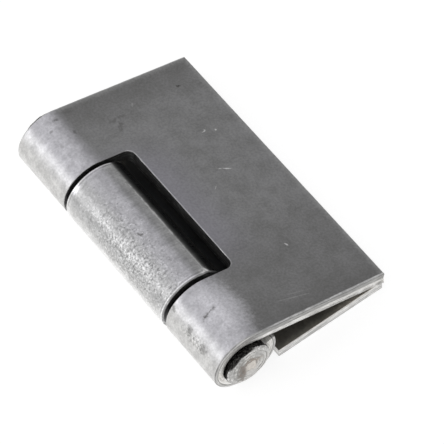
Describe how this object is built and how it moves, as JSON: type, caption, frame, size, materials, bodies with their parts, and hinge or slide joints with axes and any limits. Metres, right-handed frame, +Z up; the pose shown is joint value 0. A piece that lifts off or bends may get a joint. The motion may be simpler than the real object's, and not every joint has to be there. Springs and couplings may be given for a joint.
{
  "type": "butt hinge",
  "caption": "Plain weld-on butt hinge in bare steel with rolled knuckles and a fixed pin; the undrilled leaves fold shut on each other and swing open past flat.",
  "frame": {"origin": "middle of the lower leaf's outer (weld) face, halfway between the pin's axis and the free edge, at mid length", "axes": "+X from the pin towards the free edges, +Y along the pin, +Z up from the lower leaf's weld face through the folded hinge"},
  "size_m": [0.0309, 0.0526, 0.0111],
  "materials": {
    "rolled_steel": "bare, lightly oiled",
    "pin_steel": "bare, hammered ends"
  },
  "bodies": {
    "lower_leaf": {"one_knuckle_leaf": "rolled_steel"},
    "upper_leaf": {"two_knuckle_leaf": "rolled_steel", "hinge_pin": "pin_steel"}
  },
  "joints": [
    {"name": "leaf_swing", "type": "hinge", "parent": "lower_leaf", "child": "upper_leaf", "pos_m": [-0.0125, 0, 0.00555], "axis": [0, -1, 0], "range_deg": [0, 280]}
  ]
}
